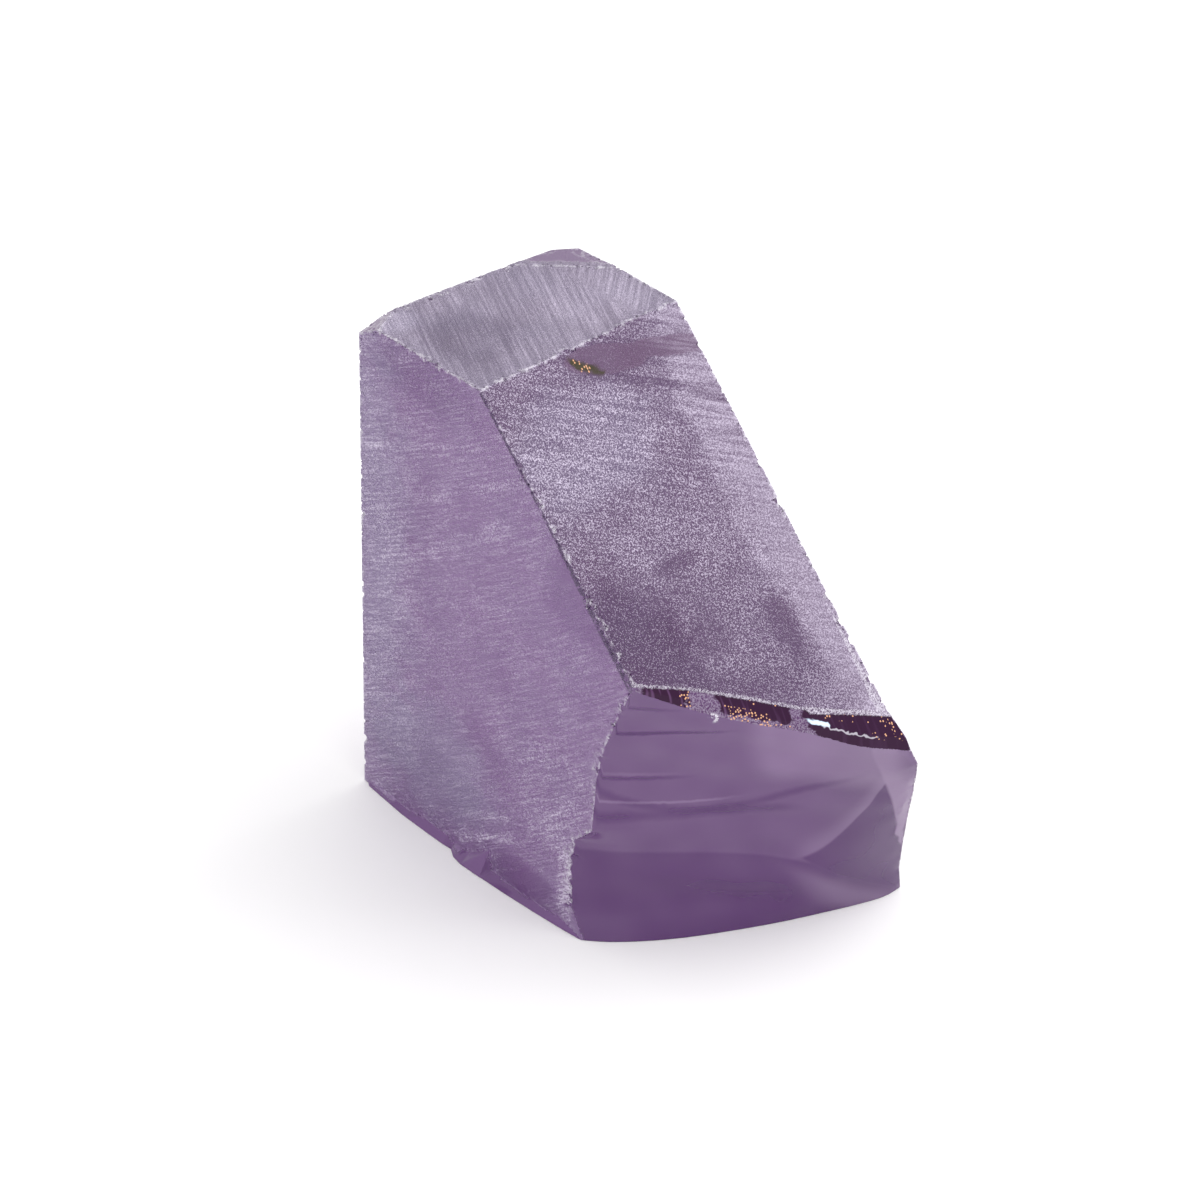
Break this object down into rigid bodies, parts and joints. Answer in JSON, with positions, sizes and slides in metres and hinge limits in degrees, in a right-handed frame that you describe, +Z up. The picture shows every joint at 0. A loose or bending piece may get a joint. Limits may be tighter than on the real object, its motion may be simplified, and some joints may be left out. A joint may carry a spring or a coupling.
{
  "type": "sapphire gemstone",
  "caption": "Rough block of purple sapphire with frosted sawn faces, a long sawn slope and a hollow glassy break in front, standing on its flat base.",
  "frame": {"origin": "middle of the block's footprint, on its flat base", "axes": "+Z up, from the base to the sawn top; +Y across the slab, from the left sawn face to the right one; +X from the sawn back to the break in front"},
  "size_m": [0.019, 0.011, 0.02],
  "materials": {
    "sapphire": "see-through purple corundum: frosted and grooved on the sawn faces, glassy on the breaks, white along the chipped edges"
  },
  "bodies": {
    "root": {"sapphire_block": "sapphire"}
  },
  "joints": []
}
